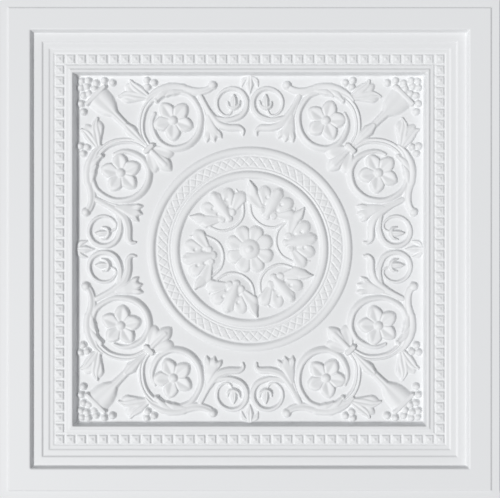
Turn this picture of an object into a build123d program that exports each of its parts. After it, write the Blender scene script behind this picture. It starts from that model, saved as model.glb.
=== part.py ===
"""A square lay-in ceiling tile, formed from one thin white plastic sheet.

The tile lies face up, as it would rest on a floor. Its flat flange is what hangs on the ceiling
grid. Inside the flange stand a plain border and a stepped moulding with a row of nailheads, and
the moulding drops to a sunk square field. On the field are a round medallion, scrolls with
five-petalled flowers, volutes and corner trumpets. The back follows the moulding, one gauge
below the face. Under the ornament of the field it is left flat.

Millimetres. +Z is up and is the side that faces the room. The origin is on the underside of the
field, at the centre of the tile. Headings are in degrees from +X, and a turn to the left is
positive.
"""

import os

from build123d import *

# Overall sizes
tile_size = 603.0  # a lay-in panel for a 24 inch (610 mm) grid
gauge = 0.7  # thickness of the sheet
border_height = 18.0  # border face above the field face
flange_drop = 2.0  # flange face below the border face

# Moulding. The outer edge of the border is measured from the centre of the tile, and each band
# inside it has its width in plan
border_outer = 291.5
border_width = 27.2
border_slope = 4.3
strip_width = 8.4
shelf_width = 8.0
ledge_width = 6.2
nail_channel_width = 13.2
fillet_width = 5.4
bead_width = 3.8
field_slope = 3.4

# Moulding, height of each level above the field face
strip_level = 12.0
shelf_level = 10.6
ledge_level = 9.6
channel_level = 8.8
fillet_level = 10.2
bead_level = 12.0
step_run = 1.0  # plan width of each small step

# Nailheads, square and blunt
nail_pitch = 13.2
nail_base = 10.2
nail_height = 2.6
nail_draft = 58.0  # slope of their four faces, from upright

# Medallion rings, radii from the centre of the tile
outer_ring_radius = 121.0
outer_ring_width = 9.4
inner_ring_radius = 91.2
inner_ring_width = 10.2
ring_height = 3.2

# Medallion flower, at the centre of the tile
centre_petals = 8
centre_petal_distance = 22.0
centre_petal_radius = 8.8
centre_button_radius = 13.5
centre_button_height = 7.0

# Medallion leaves: cupped leaves round the flower, each an open ring and a blade in its cup
cup_count = 6
cup_distance = 58.0
cup_radius = 24.0
cup_width = 6.0
cup_opening = 110.0  # angle of the gap towards the inner ring
cup_blade_start = 50.0
cup_blade_end = 82.0
cup_blade_width = 13.0

# Edges and heights of the ornament on the field, which stands on the face
draft = 25.0  # slope of the edges of petals and knobs, from upright
strand_height = 3.0
leaf_height = 2.4
petal_height = 3.4
knob_height = 4.0

# Scroll flower, in the eye of each scroll
flower_place = (93.3, 158.1)
flower_petals = 5
flower_petal_distance = 13.5
flower_petal_radius = 8.6
flower_button_radius = 6.0
flower_button_height = 5.0

# Scroll: a stem that leaves the corner knot and thickens to a coil, as arcs of (radius, turn)
scroll_start = (122.2, 123.6)
scroll_heading = 53.0
stem_width = 6.0
stem_arcs = [(51.0, 60), (36.3, 70)]
coil_width = 9.0
coil_arcs = [(36.3, 20), (37.7, 90), (32.0, 95)]

# Branch from the top of the scroll towards the middle of the side, ending in a round knob
branch_start = (95.0, 200.0)
branch_heading = 150.0
branch_arcs = [(34.0, 45), (30.0, -45)]
branch_width = 7.0
branch_knob = (43.6, 200.9)
branch_knob_radius = 5.5

# Volute beside the middle of each side: a straight stem, then its arcs
volute_start = (50.9, 188.4)
volute_heading = -108.0
volute_stem = 17.5
volute_width = 5.2
volute_arcs = [(25.5, -72), (18.0, -90), (19.5, -90), (16.0, -60)]

# Bell flower that hangs from the branch
bell_root = (58.0, 182.0)
bell_tip = (43.5, 133.0)
bell_width = 12.0

# Corner trumpet on the diagonal, each distance measured from the centre of the tile
calyx_tip = 135.3
calyx_width = 22.0
knot_distance = 173.7
knot_length = 9.0
knot_width = 12.0
trumpet_root = 195.0
trumpet_neck = 238.0
trumpet_mouth = 266.5
trumpet_rim = 5.0
trumpet_stem_width = 9.0
trumpet_mouth_width = 27.6

half = tile_size / 2
face = gauge

# Edges of the moulding's bands, measured from the centre of the tile
border_inner = border_outer - border_width
strip_outer = border_inner - border_slope
strip_inner = strip_outer - strip_width
shelf_inner = strip_inner - shelf_width
nail_channel_outer = shelf_inner - ledge_width
nail_channel_inner = nail_channel_outer - nail_channel_width
fillet_inner = nail_channel_inner - fillet_width
bead_inner = fillet_inner - bead_width
field_half = bead_inner - field_slope


def moulding_line():
    """Points of the face from the centre of the field to the tile's edge, as (distance, height)."""
    flange_level = border_height - flange_drop
    return [
        (0, 0),
        (field_half, 0),
        (bead_inner, bead_level),
        (fillet_inner - step_run, bead_level),
        (fillet_inner, fillet_level),
        (nail_channel_inner - step_run, fillet_level),
        (nail_channel_inner, channel_level),
        (nail_channel_outer, channel_level),
        (nail_channel_outer + step_run, ledge_level),
        (shelf_inner - step_run, ledge_level),
        (shelf_inner, shelf_level),
        (strip_inner - step_run, shelf_level),
        (strip_inner, strip_level),
        (strip_outer, strip_level),
        (border_inner, border_height),
        (border_outer - step_run, border_height),
        (border_outer, flange_level),
        (half, flange_level),
    ]


def petals(centre, distance, count, radius):
    """A ring of petals about a centre, each a six-sided mound with drafted edges."""
    with BuildSketch() as outline:
        RegularPolygon(radius, 6)
    mound = extrude(outline.sketch, amount=petal_height, taper=draft, mode=Mode.PRIVATE)
    with Locations(centre):
        with PolarLocations(distance, count):
            add(mound)


def knob(place, radius, height):
    """A round knob, drawn with eight drafted sides."""
    with BuildSketch() as outline:
        RegularPolygon(radius, 8)
    mound = extrude(outline.sketch, amount=height, taper=draft, mode=Mode.PRIVATE)
    with Locations(place):
        add(mound)


def leaf(root, tip, width):
    """A pointed leaf with curved sides, from its root to its tip."""
    start, end = Vector(*root), Vector(*tip)
    middle = (start + end) / 2
    across = (end - start).normalized().rotate(Axis.Z, 90) * (width / 2)
    with BuildSketch() as outline:
        with BuildLine():
            ThreePointArc(start, middle - across, end)
            ThreePointArc(end, middle + across, start)
        make_face()
    extrude(outline.sketch, amount=leaf_height)


def strand(path, width):
    """A raised strand of one width and height, carried along a line."""
    way = path % 0
    with BuildSketch(Plane(origin=path @ 0, x_dir=(-way.Y, way.X, 0), z_dir=way)) as section:
        Rectangle(width, strand_height, align=(Align.CENTER, Align.MIN))
    sweep(section.sketch, path=path)


def arc_chain(start, heading, arcs):
    """Draw arcs, each tangent to the last, and return where they end and their heading there."""
    for radius, turn in arcs:
        arc = JernArc(start, Vector(1, 0).rotate(Axis.Z, heading), radius, turn)
        start = arc @ 1
        heading = heading + turn
    return start, heading


# The sheet without its ornament: one side, from the centre out to the edge, mitred at 45 degrees
with BuildPart() as side:
    with BuildSketch(Plane.XZ):
        with BuildLine():
            face_line = Polyline(*[(u, face + z) for u, z in moulding_line()])
            offset(face_line, amount=gauge, side=Side.RIGHT, kind=Kind.INTERSECTION, closed=True)
        make_face()
    extrude(amount=half, both=True)
    with BuildSketch():
        Polygon((0, 0), (half, -half), (half, half), align=None)
    extrude(amount=border_height * 2, both=True, mode=Mode.INTERSECT)

# One side's row of nailheads, from one corner up to the next
nail_line = (nail_channel_outer + nail_channel_inner) / 2
nail_count = round(2 * nail_line / nail_pitch)
nail_places = [(nail_line, nail_line * (2 * step / nail_count - 1)) for step in range(nail_count)]
with BuildPart() as nailheads:
    with BuildSketch():
        with Locations(*nail_places):
            Rectangle(nail_base, nail_base)
    extrude(amount=nail_height, taper=nail_draft)

# The flower in the middle of the medallion, and the cupped leaves round it
with BuildPart() as medallion:
    petals((0, 0), centre_petal_distance, centre_petals, centre_petal_radius)
    knob((0, 0), centre_button_radius, centre_button_height)
    with BuildLine() as cup_line:
        CenterArc((cup_distance, 0), cup_radius, cup_opening / 2, 360 - cup_opening)
    with BuildPart(mode=Mode.PRIVATE) as cup:
        strand(cup_line.wire(), cup_width)
        leaf((cup_blade_start, 0), (cup_blade_end, 0), cup_blade_width)
    with PolarLocations(0, cup_count):
        add(cup.part)

# One eighth of the field: a scroll with its flower, its branch, and the volute beside it
with BuildPart() as scroll:
    with BuildLine() as stem_line:
        stem_end, coil_heading = arc_chain(scroll_start, scroll_heading, stem_arcs)
    strand(stem_line.wire(), stem_width)
    with BuildLine() as coil_line:
        arc_chain(stem_end, coil_heading, coil_arcs)
    strand(coil_line.wire(), coil_width)
    petals(flower_place, flower_petal_distance, flower_petals, flower_petal_radius)
    knob(flower_place, flower_button_radius, flower_button_height)
    with BuildLine() as branch_line:
        arc_chain(branch_start, branch_heading, branch_arcs)
    strand(branch_line.wire(), branch_width)
    knob(branch_knob, branch_knob_radius, knob_height)
    with BuildLine() as volute_line:
        straight = PolarLine(volute_start, volute_stem, volute_heading)
        arc_chain(straight @ 1, volute_heading, volute_arcs)
    strand(volute_line.wire(), volute_width)
    leaf(bell_root, bell_tip, bell_width)

# What stands on the diagonal: the leaf below the knot, the knot, and the trumpet with its rim.
# It is laid along X here, and turned to the diagonal when it is placed
stem_half = trumpet_stem_width / 2
mouth_half = trumpet_mouth_width / 2
horn_points = [
    (trumpet_root, -stem_half),
    (trumpet_neck, -stem_half),
    (trumpet_mouth, -mouth_half),
    (trumpet_mouth + trumpet_rim, -mouth_half),
    (trumpet_mouth + trumpet_rim, mouth_half),
    (trumpet_mouth, mouth_half),
    (trumpet_neck, stem_half),
    (trumpet_root, stem_half),
]
with BuildPart() as corner:
    leaf((knot_distance, 0), (calyx_tip, 0), calyx_width)
    with BuildSketch():
        with Locations((knot_distance, 0)):
            Rectangle(knot_length, knot_width)
    extrude(amount=knob_height)
    with BuildSketch():
        Polygon(*horn_points, align=None)
    extrude(amount=strand_height)

with BuildPart() as tile:
    with PolarLocations(0, 4):
        add(side.part)
    with Locations((0, 0, face + channel_level)):
        with PolarLocations(0, 4):
            add(nailheads.part)
    with BuildSketch(Plane.XY.offset(face)):
        for radius, width in (
            (outer_ring_radius, outer_ring_width),
            (inner_ring_radius, inner_ring_width),
        ):
            Circle(radius + width / 2)
            Circle(radius - width / 2, mode=Mode.SUBTRACT)
    extrude(amount=ring_height)
    diagonal = Plane(origin=(0, 0, 0), z_dir=(1, -1, 0))
    scroll_beside = mirror(scroll.part, about=diagonal, mode=Mode.PRIVATE)
    with Locations((0, 0, face)):
        add(medallion.part)
        with PolarLocations(0, 4):
            add(scroll.part)
            add(scroll_beside)
        with PolarLocations(0, 4, start_angle=45):
            add(corner.part)

tile.part.label = "ceiling_tile"
os.makedirs("parts", exist_ok=True)
export_step(tile.part, "parts/ceiling_tile.step")
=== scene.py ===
"""A white lay-in ceiling tile, lying face up under soft light that rakes in from its left.

The tile is one sheet of plastic, so it is one mesh. Its face is a field of heights over the plan,
built up like the mould that formed it: first the stepped moulding, then each ornament pressed
onto it. Plan sizes are in millimetres from the centre of the tile, x to the right and y up as in
the photograph, until the mesh is made in metres.
"""

import bpy
import numpy as np
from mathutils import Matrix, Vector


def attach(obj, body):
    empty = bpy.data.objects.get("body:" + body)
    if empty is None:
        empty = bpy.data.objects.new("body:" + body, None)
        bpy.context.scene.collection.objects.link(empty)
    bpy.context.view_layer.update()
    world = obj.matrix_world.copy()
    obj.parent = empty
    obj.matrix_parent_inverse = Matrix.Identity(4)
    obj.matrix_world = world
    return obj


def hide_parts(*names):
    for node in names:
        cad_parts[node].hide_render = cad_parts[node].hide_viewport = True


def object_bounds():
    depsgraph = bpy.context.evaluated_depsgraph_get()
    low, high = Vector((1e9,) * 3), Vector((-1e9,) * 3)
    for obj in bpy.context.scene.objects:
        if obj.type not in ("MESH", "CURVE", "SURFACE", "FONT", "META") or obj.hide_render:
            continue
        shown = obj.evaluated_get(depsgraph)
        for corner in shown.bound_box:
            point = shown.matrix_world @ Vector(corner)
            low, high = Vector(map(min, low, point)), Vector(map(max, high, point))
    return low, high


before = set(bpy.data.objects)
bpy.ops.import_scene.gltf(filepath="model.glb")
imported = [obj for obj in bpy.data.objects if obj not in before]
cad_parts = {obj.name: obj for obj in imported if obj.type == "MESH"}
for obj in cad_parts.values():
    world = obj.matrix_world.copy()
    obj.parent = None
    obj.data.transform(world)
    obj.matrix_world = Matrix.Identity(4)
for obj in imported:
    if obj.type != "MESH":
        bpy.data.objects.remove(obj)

cad_low, cad_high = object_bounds()

# The formed sheet. One piece of rigid PVC, heated and drawn onto a mould, which stands as a fine
# net of heights over the plan. Its lines are 0.5 mm apart where there is relief to hold.
mm = 0.001
half = cad_high[0] / mm
height = cad_high[2] / mm
gauge = 0.7
fine_step = 0.5
plain_step = 2.4
relief_end = 264.9
flange_start = 289.5

ahead = np.concatenate([
    np.arange(fine_step / 2, relief_end, fine_step),
    np.arange(relief_end + plain_step / 2, flange_start, plain_step),
    np.arange(flange_start, flange_start + 3.0, fine_step),
    np.linspace(flange_start + 3.6, half, 4),
])
lines = np.concatenate([-ahead[::-1], ahead])
x, y = np.meshgrid(lines, lines, indexing="ij")
out = np.maximum(abs(x), abs(y))


# The moulding. The border stands highest, and the steps go down from it to the sunk field. The
# flange outside the border is what lies on the ceiling grid. Each pair is a distance from the
# middle of the tile and the height there, at one bend of the section.
border = height - gauge
flange = border - 2.0
shelf = 12.0
channel = 8.8
moulding = {
    0.0: 0.0, 212.2: 0.0, 212.6: 2.0, 214.0: 11.0, 214.8: shelf, 217.8: shelf, 218.8: 10.2,
    223.2: 10.2, 224.2: channel, 237.4: channel, 238.4: 9.6, 242.6: 9.6, 243.6: 10.6, 250.6: 10.6,
    251.6: shelf, 262.2: shelf, 264.3: border, 290.5: border, 291.5: flange, half: flange,
}
relief = np.interp(out, list(moulding), list(moulding.values()))


# The nailheads. Square blocks, each with a low point of four sloping faces, evenly spaced along
# the channel of the moulding on all four sides, with one in each corner.
nail_line = 230.8
nail_gaps = 35
nail_pitch = 2 * nail_line / nail_gaps
nail_half = 5.1
nail_block = 1.9
nail_side_slope = 4.0
nail_point = 2.1
nail_top = 3.3
nail_slope = 0.7


def from_nail(place):
    """Distance from the nearest of the heads spaced evenly along a line, from end to end."""
    step = np.clip(np.round((place + nail_line) / nail_pitch), 0, nail_gaps)
    return abs(place - (step * nail_pitch - nail_line))


for across, along in ((x, y), (y, x)):
    from_head = np.maximum(abs(abs(across) - nail_line), from_nail(along))
    block = np.clip((nail_half - from_head) * nail_side_slope, -1, nail_block)
    point = np.clip((nail_point - from_head) * nail_slope, 0, nail_top - nail_block)
    relief = np.maximum(relief, np.where(from_head < nail_half, channel + block + point, 0))


# The medallion rings. Two round mouldings about the centre of the tile, with a fine raised line
# just outside the inner one, all turned in the mould. Each has a radius, half width and crest.
rings = ((120.6, 5.0, 3.2), (98.7, 1.2, 0.9), (91.0, 5.2, 3.6))
radius = np.hypot(x, y)
turn = np.arctan2(y, x)


def press(relief, form, blend=0.5):
    """The higher of the relief and a form, joined by a fillet about as wide as blend."""
    return np.maximum(relief, form) + np.clip(blend - abs(relief - form), 0, None) ** 2 / (4 * blend)


for ring_radius, ring_half, ring_crest in rings:
    relief = press(relief, ring_crest * (1 - abs((radius - ring_radius) / ring_half) ** 3))


# The lattice band between the rings. Two rows of small raised triangles, point up and point down
# in turn, with a cut groove between neighbours. Where a form is absent its height is far below the
# sheet, which stays as it is.
lattice_inner = 101.0
lattice_outer = 113.0
lattice_units = 62
lattice_crest = 1.1
lattice_edge = 3.5
lattice_blend = 0.2
absent = -9.0
band = 2 * (radius - lattice_inner) / (lattice_outer - lattice_inner)
around = turn * lattice_units / (2 * np.pi) + 0.5 * np.floor(band)
zigzag = 2 * abs(around % 1 - 0.5)
triangles = lattice_crest * np.clip(lattice_edge * abs(zigzag - band % 1), 0, 1)
relief = press(relief, np.where(abs(band - 1) < 1, triangles, absent), lattice_blend)


# The flower in the middle of the medallion. Eight rounded petals, each dished along its middle,
# lie about a domed button that stands higher than they do.
def bead(net, at, centre, size, crest, flat=2.0):
    """A round bead: its crest, less the crest times a power of distance over radius."""
    near = slice(*np.searchsorted(at, (centre[0] - 2 * size, centre[0] + 2 * size)))
    side = slice(*np.searchsorted(at, (centre[1] - 2 * size, centre[1] + 2 * size)))
    far = np.hypot(at[near, None] - centre[0], at[None, side] - centre[1])
    net[near, side] = press(net[near, side], crest * (1 - (far / size) ** flat))


def fan(net, at, centre, count, reach, notch, crest, start=0.0, spread=360.0, crease=0.0, point=2.4):
    """Press a fan or a full ring of petals that touch, about a centre, from a start angle round.

    Their outline runs from reach on each petal's axis in to notch between two petals. Their height
    rises towards that outline and drops steeply at it, with a valley between petals, and a crease
    along each axis takes a share of the crest away. Angles are in degrees.
    """
    valley_share = 0.4
    valley_half = 1.0
    crease_half = 2.4
    near = slice(*np.searchsorted(at, (centre[0] - reach - 2, centre[0] + reach + 2)))
    side = slice(*np.searchsorted(at, (centre[1] - reach - 2, centre[1] + reach + 2)))
    away_x, away_y = np.meshgrid(at[near] - centre[0], at[side] - centre[1], indexing="ij")
    far = np.hypot(away_x, away_y)
    wedge = spread / count
    petal = (np.degrees(np.arctan2(away_y, away_x)) - start) % 360 / wedge
    off_axis = abs(petal % 1 - 0.5) * 2
    arc = far * np.radians(wedge) / 2
    share = far / (reach - (reach - notch) * off_axis ** point)
    valley = valley_share * share * np.exp(-(((1 - off_axis) * arc / valley_half) ** 2))
    furrow = crease * np.exp(-((off_axis * arc / crease_half) ** 2))
    inside = (0.5 + 0.5 * share - (valley + furrow)) * (1 - share ** 12)
    form = crest * (inside - np.clip(share - 1, 0, 1) * 6)
    net[near, side] = press(net[near, side], np.where(petal < count, form, absent))


fan(relief, lines, (0, 0), 8, 30.4, 24.4, 4.4, start=1.5, crease=0.06, point=2.6)
bead(relief, lines, (0, 0), 14.2, 5.6, 5.0)
bead(relief, lines, (0, 0), 9.5, 7.4)


# The leaves round that flower. Six cups of acanthus leaf: a rounded lip holds a broad middle blade
# with fans of lobes beside it, scalloped at the root, and a pointed tip fills the gap between cups.
cup_angles = (10, 63, 124, 189, 249, 310)


def hollow(net, at, centre, size, depth):
    """A round hollow, as deep as its depth in the middle and gone at about twice its size."""
    near = slice(*np.searchsorted(at, (centre[0] - 3 * size, centre[0] + 3 * size)))
    side = slice(*np.searchsorted(at, (centre[1] - 3 * size, centre[1] + 3 * size)))
    far = np.hypot(at[near, None] - centre[0], at[None, side] - centre[1])
    net[near, side] -= depth * np.exp(-((far / size) ** 4))


def strand(net, at, points, halves, crests, flat=4.0, groove=0.0, groove_at=0.0, tilt=0.0):
    """Press a strand, stem, leaf or petal along a smooth line through a few points.

    Its height is the crest times one less a power of distance over half width. A groove takes a
    share of the crest away, at a share of the half width to the left of the line, and a tilt
    raises the left edge by its share. Half widths and crests change evenly along the line.
    """
    points = np.array(points, float)
    line = np.vstack([2 * points[0] - points[1], points, 2 * points[-1] - points[-2]])
    before, start, end, after = line[:-3], line[1:-2], line[2:-1], line[3:]
    t = np.linspace(0, 1, 9)[:-1, None, None]
    curve = start + 0.5 * t * (end - before)
    curve = curve + 0.5 * t ** 2 * (2 * before - 5 * start + 4 * end - after)
    curve = curve + 0.5 * t ** 3 * (3 * start - before - 3 * end + after)
    path = np.vstack([curve.transpose(1, 0, 2).reshape(-1, 2), points[-1:]])
    run = np.diff(path, axis=0)
    length = np.hypot(run[:, 0], run[:, 1])
    gone = np.concatenate([[0], np.cumsum(length)])
    reach = max(halves) + 1.5
    low = path.min(axis=0) - reach
    high = path.max(axis=0) + reach
    near = slice(*np.searchsorted(at, (low[0], high[0])))
    side = slice(*np.searchsorted(at, (low[1], high[1])))
    away_x = at[near, None, None] - path[:-1, 0]
    away_y = at[None, side, None] - path[:-1, 1]
    share = np.clip((away_x * run[:, 0] + away_y * run[:, 1]) / length ** 2, 0, 1)
    far = np.hypot(away_x - share * run[:, 0], away_y - share * run[:, 1])
    closest = far.argmin(axis=2)[..., None]
    left = np.take_along_axis(away_y * run[:, 0] - away_x * run[:, 1], closest, 2)[..., 0] >= 0
    far = np.take_along_axis(far, closest, 2)[..., 0]
    part_way = np.take_along_axis(share, closest, 2) * length[closest]
    passed = (gone[closest] + part_way)[..., 0] / gone[-1]
    half_width = np.interp(passed, np.linspace(0, 1, len(halves)), halves)
    crest = np.interp(passed, np.linspace(0, 1, len(crests)), crests)
    across = np.where(left, far, -far) / np.maximum(half_width, 0.05)
    furrow = groove * np.exp(-(((across - groove_at) / 0.25) ** 2))
    form = crest * ((1 + tilt * np.clip(across, -1, 1)) * (1 - abs(across) ** flat) - furrow)
    net[near, side] = press(net[near, side], form)


def on_cup(angle, *places):
    """Points given as (distance out along a cup's axis, distance to its left)."""
    cos, sin = np.cos(np.radians(angle)), np.sin(np.radians(angle))
    return np.array(places, float) @ np.array([[cos, sin], [-sin, cos]])


for angle in cup_angles:
    bowl, lobe_root, scallop_root = on_cup(angle, (59, 0), (46, 0), (54, 0))
    bead(relief, lines, bowl, 26.5, 3.0)
    lip = on_cup(
        angle, (70, -27), (60, -27), (49, -23.5), (37, -14), (33, 1), (38, 16), (50, 25), (62, 29))
    strand(relief, lines, lip, [0.8, 1.4, 1.5, 1.5, 1.5, 1.5, 1.4], [1.4, 2.6, 2.8, 2.8, 2.6, 2.4])
    fan(relief, lines, lobe_root, 5, 37.5, 31.5, 4.8, angle - 80, 160, crease=0.07, point=1.8)
    fan(relief, lines, scallop_root, 3, 14.0, 10.0, 4.8, angle + 92, 176)
    tip = on_cup(angle, (57, 23), (63, 28), (69, 33), (74.5, 38.5))
    strand(relief, lines, tip, [5.0, 6.4, 7.2, 6.8, 5.0, 2.6, 0.6], [3.4, 4.4, 4.8, 4.4], tilt=-0.2)
    blade = on_cup(angle, (44, 0), (54, 0), (66, 0), (78, 0))
    strand(relief, lines, blade, [4.0, 7.6, 10.4, 10.4, 6.4], [4.4, 5.2, 5.4, 5.0], flat=2.2)
    for eye in on_cup(angle, (57, 8.4), (66, 9.6), (57, -8.4), (66, -9.6)):
        hollow(relief, lines, eye, 2.0, 1.5)


# The ornament on the field. It is drawn once, for the eighth of the field right of the middle of
# the top side, and the mould repeats it, mirrored, in the other seven. It stands higher than it
# is drawn by ornament_rise.
eighth = np.full((len(ahead), len(ahead)), absent)
flower = np.array([93.3, 157.4])
ornament_rise = 1.15


def about_flower(*places):
    """Points given as (degrees, distance) about the flower in the eye of the scroll."""
    degrees, away = np.array(places, float).T
    turns = np.radians(degrees)
    return flower + np.array([away * np.cos(turns), away * np.sin(turns)]).T


# The coil, a rounded band that starts under the sheath and ends beside the flower it winds round
coil = about_flower(
    (100, 36.5), (125, 36.5), (155, 35), (180, 34.4), (210, 34.6), (240, 35), (270, 34.6),
    (295, 32.5), (315, 30), (340, 27.6), (360, 26.2), (380, 24.5))
strand(eighth, ahead, coil, [3.6, 3.8, 4.2, 4.6, 4.6, 4.2, 3.8, 2.4],
       [3.2, 3.6, 4.2, 4.4, 4.2, 3.8, 3.0], flat=2.6, tilt=0.25)

# The channelled stem that leaves the knot, and the sheath of acanthus that wraps it over the top
# of the scroll, with a scalloped edge that curls over above the flower
stem = about_flower((-52, 45), (-25, 41.8), (0, 38.9), (25, 37.6), (50, 36.4), (72, 36))
strand(eighth, ahead, stem, [3.0, 3.6, 4.0, 4.1, 4.0], [3.2, 3.6, 3.8, 3.8], flat=5.0, groove=0.5)
sheath = about_flower((36, 41), (50, 40.2), (68, 38.8), (88, 39), (106, 40.5))
strand(eighth, ahead, sheath, [1.6, 5.2, 7.4, 7.4, 6.4], [3.6, 4.4, 4.8, 4.4, 3.8],
       flat=5.0, groove=0.16, groove_at=0.2, tilt=-0.15)
outer_scallop = about_flower((106, 37), (88, 34), (74, 31))
strand(eighth, ahead, outer_scallop, [2.6, 4.8, 1.6], [3.8, 4.8, 4.6])
inner_scallop = about_flower((84, 38), (66, 34), (52, 31.4))
strand(eighth, ahead, inner_scallop, [2.6, 4.8, 2.2], [4.0, 5.0, 5.0])
bead(eighth, ahead, about_flower((49, 31.6))[0], 3.2, 5.6, 3.0)

# The branch, which flows out of the sheath and ends in a round curl. The volute and the bell
# flower fork from under it
branch = [(99, 197), (88, 197), (77, 194.6), (67, 192.6), (58, 193.2), (50, 196), (45.6, 200)]
strand(eighth, ahead, branch, [6.8, 6.2, 5.8, 5.2, 4.4, 4.2], [3.8, 3.6, 3.6, 3.6, 3.8],
       flat=5.0, groove=0.2, groove_at=0.35, tilt=-0.15)
bead(eighth, ahead, (45.4, 200.4), 5.8, 5.2, 3.5)

# The volute, a channelled band that winds in to a bud, and the hooked leaf under it
volute = [
    (60, 187), (52.5, 172.5), (44.5, 161.5), (33, 158.6), (22.5, 158.6), (10.5, 163.6), (4.4, 173),
    (4.6, 184), (11.4, 193.4), (22.5, 196.6), (34, 192), (40, 182), (38.6, 171), (31.6, 164),
    (25, 164.4), (21.4, 170.6),
]
strand(eighth, ahead, volute, [3.2, 3.6, 3.9, 3.9, 3.7, 3.3, 2.8, 2.2, 1.7, 1.2],
       [3.4, 3.8, 4.2, 4.2, 4.0, 3.6, 3.0, 2.4], flat=3.0, groove=0.12)
bud = [(20, 173), (19.4, 179), (19.6, 189)]
strand(eighth, ahead, bud, [3.6, 4.8, 4.0, 0.8], [4.4, 5.0, 4.4], flat=3.0, groove=0.16)
bud_cup = [(27, 180.5), (25.4, 174.6), (19.8, 172.2), (13.8, 175.4), (11.8, 181.5)]
strand(eighth, ahead, bud_cup, [0.8, 2.2, 2.8, 2.2, 0.8], [3.2, 4.2, 4.4, 4.2, 3.2], flat=3.0)
hooked = [(58, 184), (49.5, 167), (39.5, 154), (27, 149), (14, 148.4), (8.4, 145), (8.4, 139.6)]
strand(eighth, ahead, hooked, [2.0, 3.4, 5.0, 5.4, 5.0, 4.6, 1.4], [3.2, 3.8, 4.4, 4.4, 4.0, 3.0],
       flat=3.5, groove=0.12, groove_at=0.3)

# The bell flower, with three pointed tips to its mouth
bell_stem = [(61.5, 187), (56, 173), (51.5, 160)]
strand(eighth, ahead, bell_stem, [2.6, 2.3, 3.2], [3.0, 3.0, 3.4], groove=0.25)
bell = [(52, 162), (49, 151), (46.4, 143)]
strand(eighth, ahead, bell, [2.8, 6.6, 9.6], [3.4, 4.0, 3.6], flat=6.0, tilt=-0.2)
fan(eighth, ahead, (49.6, 155.0), 3, 25.5, 19.0, 5.0, 219, 70, crease=0.1, point=1.2)

# The leaf beside the corner, which splits into two curling tips, and its berries
fan(eighth, ahead, (124.5, 183.0), 2, 34.0, 27.0, 4.2, -10, 58, crease=0.1, point=1.6)
low_tip = [(126, 185), (140, 187.5), (151, 189), (160, 186.5)]
strand(eighth, ahead, low_tip, [3.4, 6.4, 5.6, 1.6], [3.2, 4.0, 4.0, 3.4], flat=5.0, groove=0.2)
high_tip = [(126, 188), (135, 194.5), (142.5, 200.5), (146, 206)]
strand(eighth, ahead, high_tip, [3.4, 6.2, 5.4, 1.8], [3.4, 4.2, 4.2, 3.6], flat=5.0, groove=0.2)
leaf_berries = [(117.2, 203.6), (124.8, 198.4), (126.0, 206.4)]
corner_berries = [(168.0, 203.5), (178.0, 206.0), (188.0, 203.0), (197.5, 206.0)]
for berry in leaf_berries + corner_berries:
    bead(eighth, ahead, berry, 4.9, 4.8, 3.0)

# The palmette over the middle of the side
middle_frond = [(0, 212), (0, 202), (0, 190.5)]
strand(eighth, ahead, middle_frond, [3.0, 5.4, 0.8], [3.0, 3.6, 2.6], flat=3.0, groove=0.3)
side_frond = [(2, 210), (7.5, 206.5), (10, 199)]
strand(eighth, ahead, side_frond, [2.4, 3.4, 0.8], [2.6, 3.0, 2.2], flat=3.0, groove=0.25)

quarter = press(eighth, eighth.T)


# The corner pieces. On each diagonal a calyx leaf points at the medallion, a collar ties the two
# scrolls, and a trumpet with a straight rim opens into the corner over a bunch of berries.
def on_diagonal(*places):
    """Points given as (distance out along the diagonal, distance to its left)."""
    away, left = np.array(places, float).T
    return np.array([away - left, away + left]).T / np.sqrt(2)


calyx_root = on_diagonal((178, 0))[0]
inwards = 225
for hand in (-1, 1):
    side_leaf = inwards + 28 * hand - 19
    fan(quarter, ahead, calyx_root, 1, 34.5, 28.5, 4.2, side_leaf, 38, crease=0.1, point=1.5)
fan(quarter, ahead, calyx_root, 1, 43.0, 33.5, 5.2, inwards - 15, 30, point=1.3)
rib = on_diagonal((172, 0), (158, 0), (146, 0))
strand(quarter, ahead, rib, [3.4, 4.4, 5.0], [4.4, 5.2, 5.4], flat=3.0)
collar = on_diagonal((174, -4.6), (174, 4.6))
strand(quarter, ahead, collar, [3.8, 3.8], [5.8, 5.8], flat=8.0)
cap = on_diagonal((184, 0), (196, 0), (206, 0), (213, 0))
strand(quarter, ahead, cap, [2.6, 4.6, 6.6, 7.6, 4.6], [3.4, 4.8, 5.4, 5.4], groove=0.12)
trumpet = on_diagonal((200, 0), (220, 0), (240, 0), (259.5, 0))
strand(quarter, ahead, trumpet, [4.2, 4.4, 4.6, 4.8, 5.6, 11.6, 14.6, 15.4], [4.0, 4.2, 4.6, 4.6],
       groove=0.1)
trumpet_rim = on_diagonal((266, -14.4), (266, 14.4))
strand(quarter, ahead, trumpet_rim, [3.0, 3.0], [5.2, 5.2], flat=8.0)
for berry in on_diagonal((273, 4.4), (273, -4.4), (281.5, 0), (290, 0)):
    bead(quarter, ahead, berry, 5.0, 5.0, 3.0)

whole = np.block([[quarter[::-1, ::-1], quarter[::-1, :]], [quarter[:, ::-1], quarter]])
relief = press(relief, ornament_rise * whole)


# The flowers in the eyes of the scrolls. Five petals round a button, pressed with the sheet, and
# turned a little differently in each scroll.
petal_turn = 11
eyes = [(a * p, b * q) for p, q in (flower, flower[::-1]) for a in (-1, 1) for b in (-1, 1)]
for index, eye in enumerate(eyes):
    fan(relief, lines, eye, 5, 26.0, 16.5, 6.0, 5 + petal_turn * index, crease=0.12, point=1.4)
    bead(relief, lines, eye, 7.0, 6.6, 3.0)


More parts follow.
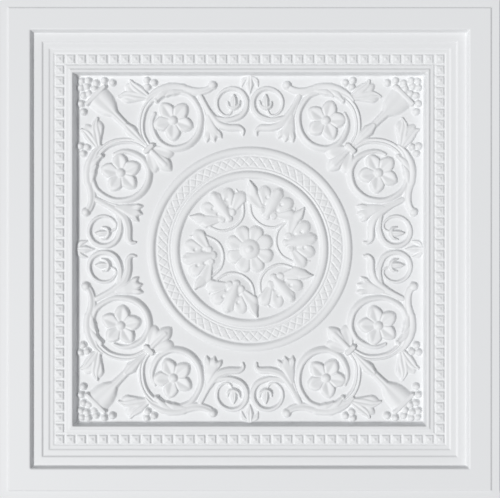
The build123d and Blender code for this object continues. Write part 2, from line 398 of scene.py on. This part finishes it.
# The sheet rounds over every edge of the mould. A weighted mean of the heights within about its
# gauge gives that radius, and is what keeps the steps from looking cut.
softness = 0.42
spacing = np.gradient(lines)
weights = np.exp(-0.5 * ((lines[:, None] - lines[None, :]) / softness) ** 2) * spacing
weights /= weights.sum(axis=1, keepdims=True)
relief = weights @ relief @ weights.T
face = relief + gauge


# The back. It lies one gauge behind the face, square to it, and is softer, because it never touched
# the mould. The face and the back each keep the triangles that hold their form, and four strips
# close the sheet between them.
slope = np.gradient(face, lines, lines)
steepness = np.sqrt(1 + slope[0] ** 2 + slope[1] ** 2)
back_softness = 1.3
thinnest = 0.6 * gauge
back_soft = np.exp(-0.5 * ((lines[:, None] - lines[None, :]) / back_softness) ** 2) * spacing
back_soft /= back_soft.sum(axis=1, keepdims=True)
back = np.minimum(back_soft @ (face - gauge * steepness) @ back_soft.T, face - thinnest)
back = np.maximum(back, 0.0)


def net_mesh(name, heights, at, wanted):
    """A mesh over the lines of a net, with the wanted number of triangles kept where it bends."""
    count = len(at)
    places = np.empty((count, count, 3))
    places[..., 0] = at[:, None] * mm
    places[..., 1] = at[None, :] * mm
    places[..., 2] = heights * mm
    corner = np.arange(count * count).reshape(count, count)
    squares = [corner[:-1, :-1], corner[1:, :-1], corner[1:, 1:], corner[:-1, 1:]]
    squares = np.stack(squares, axis=-1).reshape(-1, 4)
    mesh = bpy.data.meshes.new(name)
    mesh.vertices.add(count * count)
    mesh.vertices.foreach_set("co", places.ravel())
    mesh.loops.add(squares.size)
    mesh.loops.foreach_set("vertex_index", squares.ravel())
    mesh.polygons.add(len(squares))
    mesh.polygons.foreach_set("loop_start", np.arange(0, squares.size, 4))
    mesh.update(calc_edges=True)
    holder = bpy.data.objects.new(name, mesh)
    bpy.context.scene.collection.objects.link(holder)
    fewer = holder.modifiers.new("fewer", "DECIMATE")
    fewer.ratio = wanted / (2 * len(squares))
    fewer.use_collapse_triangulate = True
    view = bpy.context.evaluated_depsgraph_get()
    kept = holder.evaluated_get(view).to_mesh()
    points = np.empty(len(kept.vertices) * 3)
    kept.vertices.foreach_get("co", points)
    faces = np.empty(len(kept.polygons) * 3, int)
    kept.loops.foreach_get("vertex_index", faces)
    bpy.data.objects.remove(holder)
    bpy.data.meshes.remove(mesh)
    return points.reshape(-1, 3), faces.reshape(-1, 3)


face_triangles = 158000
back_triangles = 30000
back_step = 3
top_points, top_faces = net_mesh("face", face, lines, face_triangles)
coarse = np.unique(np.concatenate([np.arange(0, len(lines), back_step), [len(lines) - 1]]))
under_net = back[np.ix_(coarse, coarse)]
under_points, under_faces = net_mesh("back", under_net, lines[coarse], back_triangles)
under_points[:, 2] = np.maximum(under_points[:, 2], 0)
under_faces = under_faces[:, ::-1] + len(top_points)
points = np.vstack([top_points, under_points])


def rim(axis, end):
    """Triangles that close one side of the sheet, from the face's edge down to the back's.

    Both edges are sorted along the side. Each piece of one edge makes a triangle with the point of
    the other edge that has as many pieces before it.
    """
    on_side = abs(points[:, axis] - end * half * mm) < 1e-6
    along = points[:, 1 - axis]
    upper = np.flatnonzero(on_side[:len(top_points)])
    lower = np.flatnonzero(on_side[len(top_points):]) + len(top_points)
    upper, lower = upper[np.argsort(along[upper])], lower[np.argsort(along[lower])]
    upper_middle = (along[upper[1:]] + along[upper[:-1]]) / 2
    lower_middle = (along[lower[1:]] + along[lower[:-1]]) / 2
    under = lower[np.searchsorted(lower_middle, upper_middle)]
    above = upper[np.searchsorted(upper_middle, lower_middle, side="right")]
    strip = np.vstack([
        np.stack([upper[1:], upper[:-1], under], axis=1),
        np.stack([lower[:-1], lower[1:], above], axis=1),
    ])
    return strip if (end > 0) == (axis == 0) else strip[:, ::-1]


rims = np.vstack([rim(axis, end) for axis in (0, 1) for end in (-1, 1)])
faces = np.vstack([top_faces, under_faces, rims])
tile_mesh = bpy.data.meshes.new("formed_sheet")
tile_mesh.vertices.add(len(points))
tile_mesh.vertices.foreach_set("co", points.ravel())
tile_mesh.loops.add(faces.size)
tile_mesh.loops.foreach_set("vertex_index", faces.ravel())
tile_mesh.polygons.add(len(faces))
tile_mesh.polygons.foreach_set("loop_start", np.arange(0, faces.size, 3))
tile_mesh.update(calc_edges=True)
tile_mesh.polygons.foreach_set("use_smooth", np.ones(len(faces), bool))


def net_normals(places, heights):
    """Directions square to a net of heights at places in its plan, read between its lines."""
    plan = places[:, :2].T / mm
    cell = [np.clip(np.searchsorted(lines, plan[axis]) - 1, 0, len(lines) - 2) for axis in (0, 1)]
    part = [(plan[axis] - lines[cell[axis]]) / np.diff(lines)[cell[axis]] for axis in (0, 1)]
    normals = np.ones((len(places), 3))
    for axis, tilt in enumerate(np.gradient(heights, lines, lines)):
        near = tilt[cell[0], cell[1]] * (1 - part[1]) + tilt[cell[0], cell[1] + 1] * part[1]
        far = tilt[cell[0] + 1, cell[1]] * (1 - part[1]) + tilt[cell[0] + 1, cell[1] + 1] * part[1]
        normals[:, axis] = -(near * (1 - part[0]) + far * part[0])
    return normals / np.linalg.norm(normals, axis=1, keepdims=True)


# Each corner of a face takes its direction from the net a little inside that face, so that the
# foot of a steep form does not shade the flat triangles beyond it
inset = 0.3
corners = points[faces]
inside = corners + inset * (corners.mean(axis=1, keepdims=True) - corners)
corner_normals = np.empty_like(inside)
above = slice(0, len(top_faces))
below = slice(len(top_faces), len(top_faces) + len(under_faces))
corner_normals[above] = net_normals(inside[above].reshape(-1, 3), face).reshape(-1, 3, 3)
corner_normals[below] = -net_normals(inside[below].reshape(-1, 3), back).reshape(-1, 3, 3)
flat = np.cross(points[rims[:, 1]] - points[rims[:, 0]], points[rims[:, 2]] - points[rims[:, 0]])
flat /= np.maximum(np.linalg.norm(flat, axis=1, keepdims=True), 1e-12)
corner_normals[-len(rims):] = flat[:, None, :]
tile_mesh.normals_split_custom_set(corner_normals.reshape(-1, 3))

tile = bpy.data.objects.new("formed_sheet", tile_mesh)
bpy.context.scene.collection.objects.link(tile)
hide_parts("ceiling_tile")
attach(tile, "root")


# The finish. Matte white rigid PVC, calendered and vacuum formed. The heated skin leaves a faint
# orange peel, and the eye sees plain white with a soft, low sheen.
def linear(colour):
    """The linear red, green, blue and alpha of an sRGB hex colour."""
    parts = np.array([int(colour[i:i + 2], 16) for i in (1, 3, 5)]) / 255
    bright = np.where(parts <= 0.04045, parts / 12.92, ((parts + 0.055) / 1.055) ** 2.4)
    return (*bright, 1.0)


def node(material, kind, settings=None, links=None):
    """Add a node to a material, set its properties or sockets, and link its inputs."""
    made = material.node_tree.nodes.new(kind)
    for name, value in (settings or {}).items():
        if hasattr(made, name):
            setattr(made, name, value)
        else:
            made.inputs[name].default_value = value
    for name, source in (links or {}).items():
        material.node_tree.links.new(source, made.inputs[name])
    return made


sheet_white = "#edeeef"
pvc = bpy.data.materials.new("matte_formed_pvc")
pvc.use_nodes = True
shader = pvc.node_tree.nodes["Principled BSDF"]
shader.inputs["Base Color"].default_value = linear(sheet_white)
shader.inputs["Roughness"].default_value = 0.55
shader.inputs["IOR"].default_value = 1.53
peel_size = 1.8
peel_depth = 0.05
place = node(pvc, "ShaderNodeTexCoord")
peel = node(
    pvc, "ShaderNodeTexNoise", {"Scale": 1 / (peel_size * mm), "Detail": 2.0},
    {"Vector": place.outputs["Object"]})
skin = node(
    pvc, "ShaderNodeBump", {"Strength": 0.12, "Distance": peel_depth * mm},
    {"Height": peel.outputs["Fac"]})
pvc.node_tree.links.new(skin.outputs["Normal"], shader.inputs["Normal"])
tile_mesh.materials.append(pvc)


# The floor under the tile, plain, matte and pale. It isn't part of the object.
floor_reach = 3.0
floor_grey = "#d8d6d2"
floor_mesh = bpy.data.meshes.new("floor")
floor_corners = [(-1, -1), (1, -1), (1, 1), (-1, 1)]
floor_mesh.from_pydata(
    [(a * floor_reach, b * floor_reach, cad_low[2]) for a, b in floor_corners], [], [(0, 1, 2, 3)])
floor = bpy.data.objects.new("floor", floor_mesh)
bpy.context.scene.collection.objects.link(floor)
floor_paint = bpy.data.materials.new("pale_matte_floor")
floor_paint.use_nodes = True
floor_shader = floor_paint.node_tree.nodes["Principled BSDF"]
floor_shader.inputs["Base Color"].default_value = linear(floor_grey)
floor_shader.inputs["Roughness"].default_value = 0.8
floor_mesh.materials.append(floor_paint)


# The light. One soft key from the left and a little towards the bottom of the photograph, as the
# bright left edges of every ornament show, and a cool even fill from all round.
key_azimuth = 207.0
key_height = 60.0
key_strength = 2.34
key_spread = 12.0
fill_colour = "#f2f3f6"
fill_strength = 0.268
key = bpy.data.lights.new("key", "SUN")
key.energy = key_strength
key.angle = np.radians(key_spread)
key_lamp = bpy.data.objects.new("key", key)
key_lamp.rotation_euler = (0.0, np.radians(90 - key_height), np.radians(key_azimuth))
bpy.context.scene.collection.objects.link(key_lamp)
world = bpy.data.worlds.new("studio")
world.use_nodes = True
fill = world.node_tree.nodes["Background"]
fill.inputs["Color"].default_value = linear(fill_colour)
fill.inputs["Strength"].default_value = fill_strength
bpy.context.scene.world = world
bpy.context.scene.view_settings.view_transform = "Standard"


# The camera. It looks straight down from over the middle of the tile, which fills the frame as it
# does in the photograph.
camera_place = (0.0003, 0.0002, 1.050)
frame_width = 0.602
camera_data = bpy.data.cameras.new("camera")
camera_data.sensor_width = 36.0
camera_data.lens = camera_data.sensor_width * (camera_place[2] - cad_high[2]) / frame_width
camera = bpy.data.objects.new("camera", camera_data)
camera.location = camera_place
bpy.context.scene.collection.objects.link(camera)
bpy.context.scene.camera = camera
